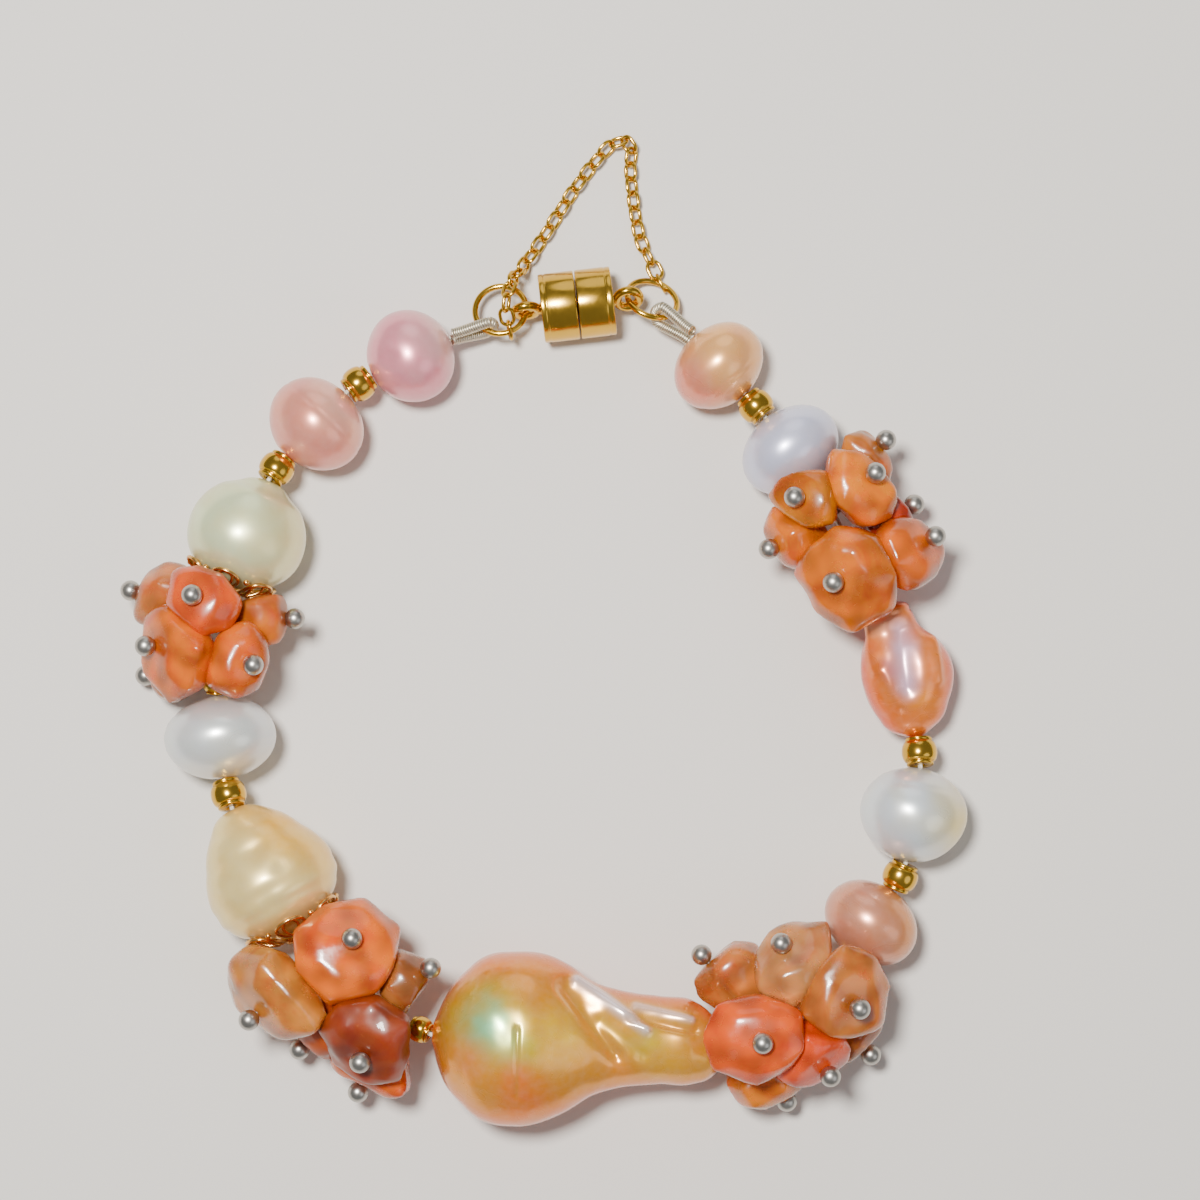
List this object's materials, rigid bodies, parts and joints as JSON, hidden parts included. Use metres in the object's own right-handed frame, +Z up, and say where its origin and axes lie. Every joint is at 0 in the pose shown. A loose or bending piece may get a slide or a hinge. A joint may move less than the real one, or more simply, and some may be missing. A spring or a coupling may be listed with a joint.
{
  "type": "pearl bracelet",
  "caption": "Closed bracelet of mixed freshwater and baroque pearls with carnelian chip clusters, gold spacers, a magnetic barrel clasp and a safety chain.",
  "frame": {"origin": "centre of the bounding box, on the surface that the bracelet lies on", "axes": "+Z up, +Y towards the clasp and the safety chain, +X to the right with the clasp at the top"},
  "size_m": [0.0738, 0.0872, 0.0145],
  "materials": {
    "pearl": "nacre with a soft lustre, white to pink and cream",
    "baroque_pearl": "golden and copper nacre with green and pink overtones",
    "carnelian": "tumbled, translucent, glossy",
    "gold": "polished gold plating",
    "silver": "satin silver headpins with ball heads",
    "gimp": "fine coiled wire, pale champagne",
    "thread": "twisted beading thread"
  },
  "bodies": {
    "root": {"pearl_1": "pearl", "pearl_2": "pearl", "pearl_3": "pearl", "pearl_4": "pearl", "pearl_5": "pearl", "pearl_6": "pearl", "pearl_7": "pearl", "pearl_8": "pearl", "pearl_9": "pearl", "baroque_pearl_large": "baroque_pearl", "baroque_pearl_small": "baroque_pearl", "spacer_1": "gold", "spacer_2": "gold", "spacer_3": "gold", "spacer_4": "gold", "spacer_5": "gold", "spacer_6": "gold", "tip_bead_1": "gold", "tip_bead_2": "gold", "tip_bead_3": "gold", "bead_cap_1": "gold", "bead_cap_2": "gold", "chip_a1": "carnelian", "chip_a2": "carnelian", "chip_a3": "carnelian", "chip_a4": "carnelian", "chip_a5": "carnelian", "chip_a6": "carnelian", "chip_b1": "carnelian", "chip_b2": "carnelian", "chip_b3": "carnelian", "chip_b4": "carnelian", "chip_b5": "carnelian", "chip_b6": "carnelian", "chip_c1": "carnelian", "chip_c2": "carnelian", "chip_c3": "carnelian", "chip_c4": "carnelian", "chip_c5": "carnelian", "chip_c6": "carnelian", "chip_c7": "carnelian", "chip_d1": "carnelian", "chip_d2": "carnelian", "chip_d3": "carnelian", "chip_d4": "carnelian", "chip_d5": "carnelian", "chip_d6": "carnelian", "chip_d7": "carnelian", "headpins_a": "silver", "headpins_b": "silver", "headpins_c": "silver", "headpins_d": "silver", "gimp_left": "gimp", "gimp_right": "gimp", "jump_ring_left": "gold", "jump_ring_right": "gold", "clasp_left_half": "gold", "clasp_right_half": "gold", "safety_chain": "gold", "stringing_thread": "thread"}
  },
  "joints": []
}
